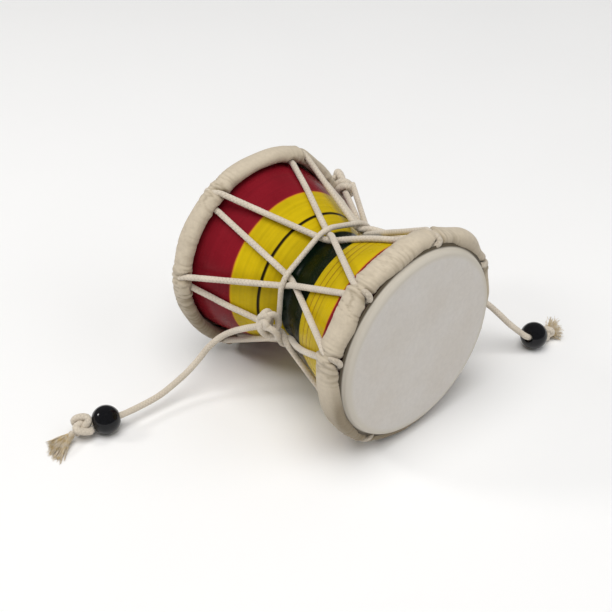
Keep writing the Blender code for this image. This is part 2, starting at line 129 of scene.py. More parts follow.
# Where the lacquer changes along the axis
lacquer_bands = (
    (-0.0298, "orange"),
    (-0.0292, "yellow"),
    (-0.0153, "line"),
    (-0.0139, "yellow"),
    (-0.0035, "green"),
    (0.0178, "yellow"),
    (0.0222, "brown"),
    (0.0226, "yellow"),
    (0.0262, "brown"),
    (0.0266, "yellow"),
    (0.0300, "brown"),
    (0.0303, "yellow"),
    (0.0392, "orange"),
    (0.0397, "crimson"),
)
band_edge = 0.00012

# Braids: the length of one turn, the strands and their rise
lacing_braid = (0.0062, 3, 0.07)
striker_braid = (0.0070, 4, 0.10)
lacing_grime = 0.6
braid_mean = 0.75

# Knots. Thicknesses count in cord diameters, and a tail's way goes by shares of its length
# and of its spread.
ring_points = 14
bight_points = 18
bight_thickness = 1.35
tail_thickness = 1.1
tail_way = ((0.2, 0.4), (0.4, 0.80), (0.7, 0.60), (1.0, 0.40))
overhand_points = 30
overhand_size = (0.0112, 0.0098, 0.0058)
knot_slant = 0.0008

# Soft shapes of the hide and the skins
hem_thickness = 0.0005
skin_slack = 0.00035
skin_ripple = 0.0002
padding_waves = 0.00028
padding_scale = 110
hoop_squareness = (0.9, 0.85)
lobe_power = 1.4
fold_scales = (420, 90)
fold_sharpness = 5.5
fold_patch_scale = 60
pleat_reach = 0.0045
pleat_scale = 160
pleat_wander = 2.2

# How the lacing presses a hoop, in shares of the lacing's radius
press_reach = 1.2
cheek_place = 2.2
least_clearance = 0.96

# A loop's way over its hoop: angles around the hoop's section and shares of the bite there,
# and then its turn at the head side
loop_bites = ((-60, 0.75), (-30, 0.9), (0, 1.0))
loop_turn_start = 80
loop_turn_sweep = 170
loop_turn_steps = 6

# Fineness of the meshes
bowl_steps = 64
shell_turn_steps = 160
hoop_section_steps = 52
bead_steps = 40
bead_turn_steps = 64
corner_points = 9
knot_ring_step = 0.0006
striker_ring_step = 0.0005
fibre_steps = 7
floor_half_size = 3


def length(name, description, default):
    return FloatProperty(
        name=name, description=description, default=default, min=0, precision=4, unit="LENGTH"
    )


def colour(name, description, default):
    return FloatVectorProperty(
        name=name, description=description, default=default, min=0, max=1, subtype="COLOR"
    )


def angle(name, description, default):
    return FloatProperty(
        name=name, description=description, default=math.radians(default), subtype="ANGLE"
    )


class DamaruDrum(PropertyGroup):
    drum_length: length("Drum length", "From the face of one skin to the other", 2 * head_high.x)
    head_diameter: length("Head diameter", "Across a skin", head_high.z - head_low.z)
    waist_diameter: length("Waist diameter", "Across the shell's waist", 0.060)
    waist_rounding: length("Waist rounding", "Radius of the waist's curve", 0.0025)
    shell_wall: length("Shell wall", "Thickness of the turned wood", 0.005)
    skin_thickness: length("Skin thickness", "Thickness of a skin", 0.0009)
    head_edge_radius: length("Head edge", "Radius where a skin turns over the rim", 0.0024)
    head_skirt: length("Head skirt", "Straight part of the skin past its edge", 0.0008)
    left_hoop_width: length("Left hoop width", "Along the drum's axis", 0.0116)
    right_hoop_width: length("Right hoop width", "Along the drum's axis", 0.0134)
    hoop_thickness: length("Hoop thickness", "From the inside of a hoop to its outside", 0.0074)
    hoop_clearance: length("Hoop clearance", "Between the shell and a hoop", 0.00075)
    hoop_edge: length("Hoop edge", "From the drum's face back to a hoop", 0.0030)
    collar_rise: length("Collar rise", "How far the skin turns up the hoop's side", 0.0022)
    collar_width_share: FloatProperty(
        name="Collar reach", description="Where it meets the hoop's side", default=0.42
    )
    corner_rise: length("Hoop corner rise", "How far a loop's corner stands out", 0.0012)
    corner_pinch: FloatProperty(
        name="Corner pinch", description="How much a loop narrows its hoop", default=0.13
    )
    cheek_rise: length("Cheek rise", "How far the hide swells beside a loop", 0.0006)
    loop_press: length("Loop press", "How deep a loop's groove is", 0.0018)
    pleat_depth: length("Pleat depth", "Depth of the hide's pleats beside a loop", 0.0003)
    pleat_pitch: length("Pleat pitch", "Distance from pleat to pleat", 0.0021)
    loop_pull: length("Hoop loop pull", "How far a loop draws its hoop to the waist", 0.0016)
    flare_power: FloatProperty(name="Flare", description="How late the bowls flare", default=1.84)
    lobe_angle: angle("Corner angle", "Half the width of a hoop's corner", 24)
    crease_depth: length("Crease depth", "Deepest fold across a hoop", 0.00045)
    turn_steps: IntProperty(name="Turn steps", description="Facets around the drum", default=480)


class DamaruCords(PropertyGroup):
    lacing_diameter: length("Lacing diameter", "Braided lacing cord", 0.0032)
    waist_cord_diameter: length("Waist cord diameter", "Cord bound around the waist", 0.0028)
    striker_cord_diameter: length("Striker cord diameter", "Cords of the beads", 0.0034)
    piece_gap: length("Gap", "Between pieces that touch", 0.0003)
    loop_bite: length("Loop bite", "How deep a loop presses into its hoop", 0.0036)
    loop_turn_reach: length("Loop turn", "Reach of a loop's turn at the head side", 0.0032)
    loop_inset: length("Loop inset", "From the hoop's side back to a loop's turn", 0.0017)
    loop_slant: FloatProperty(
        name="Loop slant", description="How far a loop slants on its hoop's top", default=0.25
    )
    waist_cord_x: length("Waist cord place", "Place of the waist cord along the axis", 0.0005)
    crossing_x: length("Crossing place", "Place along the axis where strands cross", 0.0050)
    ring_step: length("Ring step", "Distance of the rings that a cord's mesh is made of", 0.0007)
    lacing_knot_length: length("Lacing knot", "Length of the knot on the left hoop", 0.0165)
    lacing_knot_thickness: length("Lacing knot depth", "Thickness of that knot", 0.0110)
    lacing_knot_shift: length("Lacing knot shift", "From the hoop towards the waist", 0.0040)


class DamaruStrikers(PropertyGroup):
    bead_diameter: length("Bead diameter", "Round striker bead", 0.0150)
    bead_bore_clearance: length("Bore clearance", "Around the cord in a bead", 0.0006)
    bead_edge: length("Bead edge", "Rounding at a bead's bore", 0.0004)
    end_knot_diameter: length("End knot diameter", "Stop knot beyond a bead", 0.0108)
    end_knot_nestle: length("End knot nestle", "How far its lobes lie around a bead", 0.0011)
    fibre_diameter: length("Fibre diameter", "Threads of a frayed end", 0.00034)
    fibres: IntProperty(name="Fibres", description="Threads in a frayed end", default=230)


class DamaruColours(PropertyGroup):
    crimson: colour("Crimson", "Lacquer at the rims", (0.235, 0.010, 0.019))
    yellow: colour("Yellow", "Lacquer on the bowls", (0.630, 0.455, 0.006))
    orange: colour("Orange", "Thin edge of the crimson bands", (0.60, 0.20, 0.02))
    green: colour("Green", "Lacquer at the waist", (0.0014, 0.0085, 0.0030))
    line: colour("Line", "Thin dark line", (0.012, 0.006, 0.004))
    brown: colour("Brown", "Fine turned lines on the right bowl", (0.20, 0.055, 0.01))
    skin: colour("Skin", "Drum skins", (0.640, 0.606, 0.565))
    skin_edge: colour("Skin edge", "Where a skin turns over the rim", (0.58, 0.535, 0.46))
    hide: colour("Hide", "Wrap of the hoops", (0.635, 0.550, 0.425))
    # Darker brown of the hide's mottle, and the painted shade of its creases, edges and
    # undersides; dimmed, the painted shadow on the skins' collars
    hide_mottle_and_painted_shade: colour("Hide shade", "Creases and edges of the wrap", (0.27, 0.215, 0.14))
    cotton: colour("Cotton", "Cords", (0.690, 0.610, 0.500))
    # Painted shade between the cords' strands, and the grey of grime on the right hoop's loops
    cotton_painted_shade_and_grime: colour("Cotton shade", "Between the cords' strands", (0.36, 0.30, 0.22))
    bead: colour("Bead", "Glossy beads", (0.0035, 0.0035, 0.0045))
    fibre: colour("Fibre", "Frayed cord ends", (0.62, 0.48, 0.26))
    floor: colour("Floor", "Plain floor", (0.95, 0.95, 0.95))


class DamaruView(PropertyGroup):
    azimuth: angle("Azimuth", "Turn of the camera around the drum", 46.964)
    elevation: angle("Elevation", "Height of the camera above the horizon", 36.306)
    distance: length("Distance", "From the drum's middle to the camera", 0.6269)
    right: FloatProperty(name="Right", description="Camera's move to its right", default=-0.01202)
    up: FloatProperty(name="Up", description="Camera's move upwards", default=-0.00861)
    lens: FloatProperty(name="Lens", description="Focal length in mm", default=71.72)
    key: FloatProperty(name="Overhead light", description="Power in watts", default=40.0)
    left: FloatProperty(name="Left light", description="Power in watts", default=2.4)
    fill: FloatProperty(name="Right light", description="Power in watts", default=6.5)
    sky: FloatProperty(name="Sky", description="Strength of the even light", default=0.20)


# Places on the drum

def box_centre(node):
    low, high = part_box(node)
    return (low + high) / 2


def turn_between(start, end):
    """The shorter way in degrees from one angle to another."""
    return (end - start + 180) % 360 - 180


def around(x, radius, degrees):
    """A point at a distance along the axis, a distance from it and an angle around it."""
    turn = math.radians(degrees)
    return drum_centre + Vector((x, radius * math.cos(turn), radius * math.sin(turn)))


def moved(point):
    """A route's point, moved with the drum, which is centred over the origin."""
    return Vector(point) + Vector((0, drum_centre.y, 0))


def rim_radius(drum, cords):
    return drum.head_diameter / 2 - drum.skin_thickness - cords.piece_gap


def shell_half_length(drum, cords):
    return drum.drum_length / 2 - drum.skin_thickness - cords.piece_gap


def shell_radius(drum, cords, x):
    """The outer radius of the shell at a distance along the axis."""
    rim = rim_radius(drum, cords)
    rounded = math.hypot(x, drum.waist_rounding) - drum.waist_rounding
    reach = max(0.0, 1 - rounded / shell_half_length(drum, cords))
    return rim - (rim - drum.waist_diameter / 2) * reach**drum.flare_power


def hoop_width(drum, side):
    return drum.left_hoop_width if side < 0 else drum.right_hoop_width


def hoop_x(drum, side):
    return drum.drum_length / 2 - drum.hoop_edge - hoop_width(drum, side) / 2


def hoop_centre_radius(drum, cords):
    seat = shell_radius(drum, cords, hoop_x(drum, -1)) + drum.hoop_clearance
    return seat + drum.hoop_thickness / 2


def swell(degrees, swells):
    """How far a hoop's outside stands out from a true ring."""
    rise = 0.0
    for middle, half, height in swells:
        away = abs(turn_between(middle, degrees)) / half
        if away < 1:
            rise += height * (1 + math.cos(math.pi * away)) / 2
    return rise


def strand_levels(drum, cords):
    """Distances from the axis of a node's lower, upper and side strands and of its waist cord."""
    gap = cords.piece_gap
    lower = shell_radius(drum, cords, cords.crossing_x) + cords.lacing_diameter / 2 + 2 * gap
    upper = lower + cords.lacing_diameter + gap
    beside = lower + gap
    waist = beside + (cords.lacing_diameter + cords.waist_cord_diameter) / 2 + 3 * gap
    return lower, upper, beside, waist


def strand_spread(drum, cords):
    """Half the angle in degrees between two strands where they pass under the waist cord."""
    beside = strand_levels(drum, cords)[2]
    return math.degrees((cords.lacing_diameter + 4 * cords.piece_gap) / 2 / beside)


# Cord routes

def smooth_route(points, step, closed=False, bend=0.45):
    """Points at equal steps along a taut route, whose corners are rounded off.

    A corner takes up a share, bend, of the straight runs beside it.
    """
    count = len(points)
    fine = [] if closed else [points[0]]
    for i in range(0 if closed else 1, count if closed else count - 1):
        before, corner, after = points[i - 1], points[i], points[(i + 1) % count]
        reach = bend * min((corner - before).length, (after - corner).length)
        start = corner + (before - corner).normalized() * reach
        end = corner + (after - corner).normalized() * reach
        handles = (start.lerp(corner, 2 / 3), end.lerp(corner, 2 / 3))
        fine += interpolate_bezier(start, *handles, end, corner_points)
    fine.append(fine[0] if closed else points[-1])
    lengths = np.cumsum([0] + [(b - a).length for a, b in zip(fine, fine[1:])])
    steps = max(4, round(lengths[-1] / step))
    places = np.linspace(0, lengths[-1], steps + 1)[: steps if closed else steps + 1]
    fine = np.array(fine)
    columns = [np.interp(places, lengths, fine[:, axis]) for axis in range(3)]
    return [Vector(row) for row in np.array(columns).T]


def clear_of_skirt(drum, cords, x, radius):
    """Moves a point of a loop away from the edge of a skin's skirt until the loop clears it."""
    skirt_x = drum.drum_length / 2 - drum.head_edge_radius - drum.head_skirt
    offset = Vector((x - skirt_x, radius - drum.head_diameter / 2))
    clearance = cords.lacing_diameter / 2 + cords.piece_gap
    if offset.length < clearance:
        offset.length = clearance
    return skirt_x + offset.x, drum.head_diameter / 2 + offset.y


def loop_route(drum, cords, side, over_angle, under_angle):
    """A lacing loop: over a hoop's outer side towards the head, and back underneath it."""
    middle = hoop_x(drum, side)
    half_width = hoop_width(drum, side) / 2
    centre = hoop_centre_radius(drum, cords)
    radius = cords.lacing_diameter / 2
    rise = drum.corner_rise + swell(over_angle, hoop_swells[side])
    slant = under_angle - over_angle
    places = []
    for degrees, share in loop_bites:
        turn = math.radians(degrees)
        bite = cords.loop_bite * share
        x = middle - drum.loop_pull + (half_width + radius - bite) * math.sin(turn)
        over = centre + (drum.hoop_thickness / 2 + rise + radius - bite) * math.cos(turn)
        drift = slant * cords.loop_slant * (1 + degrees / 60)
        places.append((x, over, over_angle + drift))
    turn_x = middle + half_width - cords.loop_inset - cords.loop_turn_reach
    under = shell_radius(drum, cords, turn_x) + radius + 2 * cords.piece_gap
    for i in range(loop_turn_steps + 1):
        share = i / loop_turn_steps
        turn = math.radians(loop_turn_start - loop_turn_sweep * share)
        x = turn_x + cords.loop_turn_reach * math.cos(turn)
        out = (over + under) / 2 + (over - under) / 2 * math.sin(turn)
        x, out = clear_of_skirt(drum, cords, x, out)
        drift = cords.loop_slant + (1 - cords.loop_slant) * share**2
        places.append((x, out, over_angle + slant * drift))
    under_middle = shell_radius(drum, cords, middle) + radius + 2 * cords.piece_gap
    places.append((middle, under_middle, under_angle))
    inner_x = middle - half_width
    under_edge = shell_radius(drum, cords, inner_x) + cords.lacing_diameter
    places.append((inner_x, under_edge, under_angle))
    return [around(side * x, out, degrees) for x, out, degrees in places]


def clear_of_shell(drum, cords, point):
    """Moves a point of a strand straight out until the strand clears the shell."""
    out = point - drum_centre
    radius = math.hypot(out.y, out.z)
    least = shell_radius(drum, cords, out.x) + cords.lacing_diameter / 2 + cords.piece_gap
    if radius >= least:
        return point
    return drum_centre + Vector((out.x, out.y * least / radius, out.z * least / radius))


def strand(drum, cords, start, end):
    """The points between two ends of a strand, resting on the shell where it bulges."""
    points = [start.lerp(end, share) for share in (0.2, 0.4, 0.6, 0.8)]
    return [clear_of_shell(drum, cords, point) for point in points]


def node_route(drum, cords, node, from_lower_angle):
    """A strand's points at a waist node, from the left drum half to the right one."""
    lower, upper, beside, _ = strand_levels(drum, cords)
    degrees = waist_node_angles[node]
    on_top = node_with_left_strand_on_top[node] == from_lower_angle
    spread = strand_spread(drum, cords) * (-1 if from_lower_angle else 1)
    return [
        around(cords.waist_cord_x, beside, degrees + spread),
        around(cords.crossing_x, upper if on_top else lower, degrees),
    ]


def lacing_knot_place(drum, cords, share):
    """A point in the knot that ties the lacing's ends, a share of its length along it."""
    thickness = cords.lacing_knot_thickness
    radius = hoop_centre_radius(drum, cords) + drum.hoop_thickness / 2 + drum.corner_rise
    x = cords.lacing_knot_shift - hoop_x(drum, -1) - share * cords.lacing_knot_length
    degrees = left_loop_overs[lacing_knot_loop]
    return around(x, radius + thickness / 2 + cords.piece_gap, degrees)


def lacing_route(drum, cords):
    """The whole lacing, which passes from hoop to hoop and goes around the drum twice."""
    count = len(waist_node_angles)
    order = [(lacing_knot_loop + i) % count for i in range(2 * count + 1)]
    points = []
    for step, loop in enumerate(order):
        on_left = step % 2 == 0
        side = -1 if on_left else 1
        wrap = loop_route(drum, cords, side, *hoop_loops[side][loop])
        if step == 0:
            wrap = [lacing_knot_place(drum, cords, 0.25)] + wrap[4:]
        elif step == 2 * count:
            wrap = [lacing_knot_place(drum, cords, -0.4)]
        if points:
            middle = node_route(drum, cords, loop, not on_left)
            if on_left:
                middle = middle[::-1]
            points += strand(drum, cords, points[-1], middle[0])
            points += middle
            points += strand(drum, cords, middle[-1], wrap[0])
        points += wrap
    return points


def waist_cord_route(drum, cords):
    """The cord bound around the waist: a ring with a soft corner over each node."""
    level = strand_levels(drum, cords)[3]
    half = strand_spread(drum, cords) * 1.3
    points = []
    for degrees in waist_node_angles:
        for offset in (-half, half):
            points.append(around(cords.waist_cord_x, level, degrees + offset))
    return points


def overhand_route(centre, lengthwise, outward, size):
    """A closed overhand knot that fills a box: its length, breadth and depth."""
    across = lengthwise.cross(outward)
    half_length, half_breadth, half_depth = (measure / 2 for measure in size)
    points = []
    for i in range(overhand_points):
        t = 2 * math.pi * i / overhand_points
        along = (math.cos(t) - 2 * math.cos(2 * t)) / 3
        beside = (math.sin(t) + 2 * math.sin(2 * t)) / 2.75
        out = -math.sin(3 * t)
        offset = lengthwise * along * half_length + across * beside * half_breadth
        points.append(centre + offset + outward * out * half_depth)
    return points


# Mesh helpers

def piece_from(name, mesh, looks, slot, *nodes):
    """Makes a mesh a piece that rides on the drum and stands for CAD nodes."""
    made = bpy.data.objects.new(name, mesh)
    bpy.context.scene.collection.objects.link(made)
    for look in looks:
        mesh.materials.append(look)
    mesh.shade_smooth()
    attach(made, "root")
    if nodes:
        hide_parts(*nodes)
    return made


def mesh_from(bm, name):
    """Merges what coincides, turns the faces outwards and returns the mesh."""
    bmesh.ops.remove_doubles(bm, verts=bm.verts, dist=1e-6)
    bmesh.ops.recalc_face_normals(bm, faces=bm.faces)
    mesh = bpy.data.meshes.new(name)
    bm.to_mesh(mesh)
    bm.free()
    return mesh


def spun(profile, steps, centre=drum_centre):
    """Spins a closed profile of points around an axis along X."""
    bm = bmesh.new()
    corners = [bm.verts.new(point) for point in profile]
    edges = [bm.edges.new(pair) for pair in zip(corners, corners[1:] + corners[:1])]
    bmesh.ops.spin(
        bm,
        geom=corners + edges,
        cent=centre,
        axis=axis_vector,
        angle=2 * math.pi,
        steps=steps,
        use_merge=True,
        use_duplicate=False,
    )
    return bm


def mesh_of_curve(curve):
    """Turns a curve into a mesh of the same name."""
    name = curve.name
    holder = bpy.data.objects.new(name, curve)
    mesh = bpy.data.meshes.new_from_object(holder)
    bpy.data.objects.remove(holder)
    bpy.data.curves.remove(curve)
    mesh.name = name
    return mesh


def cord_tube(name, points, radii, closed, resolution):
    """A round tube along equal steps of a route, as a mesh. It also returns its sides."""
    curve = bpy.data.curves.new(name, "CURVE")
    curve.dimensions = "3D"
    curve.bevel_depth = 1.0
    curve.bevel_resolution = resolution
    spline = curve.splines.new("POLY")
    spline.points.add(len(points) - 1)
    for spot, point, radius in zip(spline.points, points, radii):
        spot.co = (*point, 1)
        spot.radius = radius
    spline.use_cyclic_u = closed
    mesh = mesh_of_curve(curve)
    return mesh, len(mesh.vertices) // len(points)


def shape_cord(mesh, points, sides, step, height):
    """Raises a cord's strands and gives it a UV map: around it, and along it in metres."""
    places = np.empty(len(mesh.vertices) * 3)
    mesh.vertices.foreach_get("co", places)
    places = places.reshape(len(points), sides, 3)
    middles = np.array(points)[:, None, :]
    turns = np.arange(sides) / sides
    along = np.arange(len(points)) * step
    places = middles + (places - middles) * (1 + height(turns[None, :], along[:, None]))[..., None]
    mesh.vertices.foreach_set("co", places.ravel())
    corners = np.empty(len(mesh.loops), int)
    mesh.loops.foreach_get("vertex_index", corners)
    ring, side = corners // sides, corners % sides
    starts = np.empty(len(mesh.polygons), int)
    totals = np.empty(len(mesh.polygons), int)
    mesh.polygons.foreach_get("loop_start", starts)
    mesh.polygons.foreach_get("loop_total", totals)
    quads = starts[totals == 4][:, None] + np.arange(4)
    for values, count in ((side, sides), (ring, len(points))):
        group = values[quads]
        wraps = (group.max(1) - group.min(1)) > count / 2
        changed = np.where(wraps[:, None] & (group == 0), count, group)
        values[quads] = changed
    flat = np.stack([side / sides, ring * step], 1)
    layer = mesh.uv_layers.new(name="Cord") if not mesh.uv_layers else mesh.uv_layers[0]
    layer.name = "Cord"
    layer.data.foreach_set("uv", flat.astype(np.float32).ravel())
    mesh.update()


def braid(pitch, strands, rise):
    """How far a braid's crossing strands stand out, as a share of the cord's radius."""

    def height(turn, along):
        rightward = np.sin(np.pi * strands * (along / pitch + turn))
        leftward = np.sin(np.pi * strands * (along / pitch - turn))
        on_top = 1 / (1 + np.exp(-8 * rightward * leftward))
        wave = on_top * np.abs(rightward) + (1 - on_top) * np.abs(leftward)
        return rise * (wave - braid_mean)

    return height


def cord_mesh(name, route, diameter, step, height, closed=False, resolution=4):
    """A cord's mesh along a smooth curve through its route, and the curve's points."""
    points = smooth_route(route, step, closed)
    even_step = (points[1] - points[0]).length
    wobble = [diameter / 2 * (1 + 0.035 * noise.noise(point * 260)) for point in points]
    mesh, sides = cord_tube(name, points, wobble, closed, resolution)
    shape_cord(mesh, points, sides, even_step, height)
    return mesh, points


def join_meshes(name, meshes):
    """One closed mesh from several, with their UV maps."""
    bm = bmesh.new()
    for mesh in meshes:
        bm.from_mesh(mesh)
        bpy.data.meshes.remove(mesh)
    bmesh.ops.holes_fill(bm, edges=bm.edges, sides=0)
    joined = bpy.data.meshes.new(name)
    bm.to_mesh(joined)
    bm.free()
    return joined


# Materials

class Look:
    """A material in the making, with short ways to add its nodes."""

    def __init__(self, name, roughness, specular):
        self.material = bpy.data.materials.new(name)
        self.material.use_nodes = True
        self.tree = self.material.node_tree
        self.shader = self.tree.nodes["Principled BSDF"]
        self.set("Roughness", roughness)
        self.set("Specular IOR Level", specular)
        coordinates = self.add("ShaderNodeTexCoord").outputs["Object"]
        centred = {"Vector": coordinates, "Location": tuple(-drum_centre)}
        self.place = self.add("ShaderNodeMapping", centred).outputs[0]

    def put(self, value, socket):
        """Links a node's output to a socket, or sets the socket to a number or colour."""
        if isinstance(value, bpy.types.NodeSocket):
            self.tree.links.new(value, socket)
        elif socket.type == "RGBA":
            socket.default_value = (*value, 1)
        else:
            socket.default_value = value

    def set(self, name, value):
        self.put(value, self.shader.inputs[name])

    def add(self, kind, inputs=None, **settings):
        node = self.tree.nodes.new(kind)
        for key, value in settings.items():
            setattr(node, key, value)
        for key, value in (inputs or {}).items():
            self.put(value, node.inputs[key])
        return node

    def math(self, operation, first, second=0.0):
        return self.add("ShaderNodeMath", {0: first, 1: second}, operation=operation).outputs[0]

    def noise(self, scale, detail, roughness=0.5, place=None):
        inputs = {"Scale": scale, "Detail": detail, "Roughness": roughness}
        inputs["Vector"] = place or self.place
        return self.add("ShaderNodeTexNoise", inputs).outputs[0]

    def range(self, value, low, high, to_low=0.0, to_high=1.0):
        inputs = {0: value, 1: low, 2: high, 3: to_low, 4: to_high}
        return self.add("ShaderNodeMapRange", inputs).outputs[0]

    def patches(self, scale, detail, low, high, to_low=0.0, to_high=1.0, roughness=0.5):
        """Noise from low to high, stretched to another range."""
        return self.range(self.noise(scale, detail, roughness), low, high, to_low, to_high)

    def mix(self, share, first, second, blend="MIX"):
        inputs = {0: share, 6: first, 7: second}
        return self.add("ShaderNodeMix", inputs, data_type="RGBA", blend_type=blend).outputs[2]

    def shade(self, body, tone):
        """A colour, darker or lighter by a tone around 1."""
        grey = self.add("ShaderNodeCombineColor", {0: tone, 1: tone, 2: tone}).outputs[0]
        return self.mix(1.0, body, grey, "MULTIPLY")

    def bump(self, height, distance, strength, over=None):
        inputs = {"Height": height, "Distance": distance, "Strength": strength}
        if over:
            inputs["Normal"] = over
        return self.add("ShaderNodeBump", inputs).outputs[0]


def lacquered_wood(drum, colours):
    """Glossy lacquer in turned bands along the axis."""
    look = Look("lacquered_wood", 0.33, 0.08)
    x = look.add("ShaderNodeSeparateXYZ", {0: look.place}).outputs[0]
    x = look.math("ADD", x, look.patches(60, 2, 0.3, 0.7, -0.0002, 0.0002))
    half = drum.drum_length / 2
    ramp = look.add("ShaderNodeValToRGB", {0: look.range(x, -half, half)})
    previous = colours.crimson
    first_stop, last_stop = ramp.color_ramp.elements
    first_stop.position, first_stop.color = 0, (*previous, 1)
    last_stop.position, last_stop.color = 1, (*previous, 1)
    edge = band_edge / (2 * half)
    for start, name in lacquer_bands:
        middle = (start + half) / (2 * half)
        shade = getattr(colours, name)
        ramp.color_ramp.elements.new(middle - edge).color = (*previous, 1)
        ramp.color_ramp.elements.new(middle + edge).color = (*shade, 1)
        previous = shade
    stretched = {"Vector": look.place, "Scale": (900, 12, 12)}
    turned = look.noise(1.0, 2, place=look.add("ShaderNodeMapping", stretched).outputs[0])
    mottle = look.patches(45, 4, 0.3, 0.75, 0.80, 1.06)
    tint = look.math("MULTIPLY", mottle, look.range(turned, 0.3, 0.7, 0.90, 1.05))
    look.set("Base Color", look.shade(ramp.outputs[0], tint))
    look.set("Roughness", look.patches(180, 3, 0.3, 0.7, 0.22, 0.36))
    look.set("Normal", look.bump(turned, 0.00004, 0.5))
    return look.material


def drum_skin(drum, colours):
    """Pale matte skin, a little mottled, warmer where it turns over the rim, with painted shadow
    on the collar up the hoop.
    """
    look = Look("drum_skin", 0.62, 0.35)
    across = {0: look.place, 1: (0, 1, 1)}
    flat = look.add("ShaderNodeVectorMath", across, operation="MULTIPLY").outputs[0]
    radius = look.add("ShaderNodeVectorMath", {0: flat}, operation="LENGTH").outputs["Value"]
    rim = drum.head_diameter / 2
    edge = look.range(radius, rim - 0.0042, rim - 0.0020)
    collar = look.range(radius, rim + 0.0001, rim + 0.0009)
    warm = [channel * share for channel, share in zip(colours.skin, (0.95, 0.93, 0.90))]
    body = look.mix(look.patches(38, 5, 0.35, 0.7, roughness=0.6), colours.skin, warm)
    body = look.shade(body, look.patches(420, 4, 0.35, 0.75, 0.95, 1.03, 0.7))
    body = look.mix(edge, body, colours.skin_edge)
    # The collar up the hoop's side is painted dark as the shadow in the gap between hoop and skin
    look.set("Base Color", look.mix(collar, body, colours.hide_mottle_and_painted_shade * 0.35))
    waves = look.bump(look.noise(60, 3), 0.0004, 0.25)
    look.set("Normal", look.bump(look.noise(900, 4, 0.6), 0.00006, 0.5, waves))
    return look.material


def hoop_wrap(colours):
    """Cream hide: soft mottling, and painted shade where its crease attribute says."""
    look = Look("hoop_wrap", 0.72, 0.3)
    cloud = look.math("MULTIPLY", look.patches(55, 5, 0.42, 0.78, roughness=0.62), 0.22)
    painted_shade = look.add("ShaderNodeAttribute", attribute_name="crease").outputs["Fac"]
    # Mottle and painted shade both mix the hide towards the same darker brown
    body = look.mix(look.math("MAXIMUM", cloud, painted_shade), colours.hide, colours.hide_mottle_and_painted_shade)
    speck = look.patches(520, 4, 0.35, 0.75, 0.93, 1.05, 0.7)
    look.set("Base Color", look.shade(body, speck))
    pores = look.add("ShaderNodeTexVoronoi", {"Vector": look.place, "Scale": 1300}).outputs[0]
    grain = look.math("ADD", look.noise(700, 4, 0.65), pores)
    look.set("Normal", look.bump(grain, 0.00009, 0.55))
    look.set("Sheen Weight", 0.15)
    return look.material


def cotton_cord(name, colours, pitch, strands, grime=0.0):
    """Off-white cotton: strands from the cord's own UV map, with painted shade between them and
    fine fibres along them.

    Grime is how much the cord is worn grey on the right hoop.
    """
    look = Look(name, 0.9, 0.15)
    uv = look.add("ShaderNodeUVMap", uv_map="Cord").outputs[0]
    parts = look.add("ShaderNodeSeparateXYZ", {0: uv}).outputs
    turn = look.math("MULTIPLY", parts[0], strands)
    along = look.math("MULTIPLY", parts[1], strands / pitch)
    waves = []
    for operation in ("ADD", "SUBTRACT"):
        lead = look.math("MULTIPLY", look.math(operation, along, turn), math.pi)
        waves.append(look.math("SINE", lead))
    on_top = look.range(look.math("MULTIPLY", *waves), -0.2, 0.2)
    over = look.math("MULTIPLY", look.math("ABSOLUTE", waves[0]), on_top)
    below = look.math("SUBTRACT", 1.0, on_top)
    under = look.math("MULTIPLY", look.math("ABSOLUTE", waves[1]), below)
    relief = look.math("ADD", over, under)
    # Painted shade in the grooves between the strands, patchy in depth
    groove_shade_patches = look.patches(90, 3, 0.35, 0.65, 0.30, 0.75)
    raised = look.range(relief, 0.0, 0.6, groove_shade_patches, 1.0)
    body = look.mix(raised, colours.cotton_painted_shade_and_grime, colours.cotton)
    if grime:
        x = look.add("ShaderNodeSeparateXYZ", {0: look.place}).outputs[0]
        rubbed = look.patches(700, 4, 0.4, 0.6, 0.4, 1.0, 0.7)
        share = look.math("MULTIPLY", look.range(x, 0.050, 0.057, 0.0, grime), rubbed)
        body = look.mix(share, body, colours.cotton_painted_shade_and_grime)
    fibres = look.noise(2600, 4, 0.7)
    blotch = look.patches(120, 3, 0.3, 0.7, 0.90, 1.06)
    tone = look.math("MULTIPLY", blotch, look.range(fibres, 0.3, 0.7, 0.86, 1.08))
    look.set("Base Color", look.shade(body, tone))
    look.set("Normal", look.bump(fibres, 0.0001, 0.8, look.bump(relief, 0.00018, 0.5)))
    look.set("Sheen Weight", 0.35)
    look.set("Sheen Roughness", 0.6)
    return look.material


def black_bead(colours):
    look = Look("black_bead", 0.12, 0.3)
    look.set("Roughness", look.patches(300, 4, 0.3, 0.7, 0.10, 0.14))
    dust = look.patches(900, 3, 0.3, 0.8)
    look.set("Base Color", look.mix(dust, colours.bead, colours.bead * 2.2))
    look.set("Normal", look.bump(look.noise(220, 3), 0.00005, 0.3))
    return look.material


def frayed_cotton(colours):
    look = Look("frayed_cotton", 0.85, 0.2)
    tone = look.patches(430, 3, 0.38, 0.62)
    look.set("Base Color", look.mix(tone, colours.fibre, colours.cotton))
    look.set("Normal", look.bump(look.noise(3000, 2), 0.00005, 0.5))
    look.set("Sheen Weight", 0.3)
    return look.material


def plain_floor(colours):
    look = Look("plain_floor", 0.9, 0.1)
    faint = look.patches(6, 3, 0.3, 0.7)
    look.set("Base Color", look.mix(faint, colours.floor, colours.floor * 0.985))
    return look.material


def look_named(name, make, *values):
    """A material that is made once and then shared."""
    return bpy.data.materials.get(name) or make(*values)


def lacing_look(colours):
    name = "braided_cotton"
    return look_named(name, cotton_cord, name, colours, *lacing_braid[:2], lacing_grime)


def striker_look(colours):
    name = "twisted_cotton"
    return look_named(name, cotton_cord, name, colours, *striker_braid[:2])


# Camera, floor and light

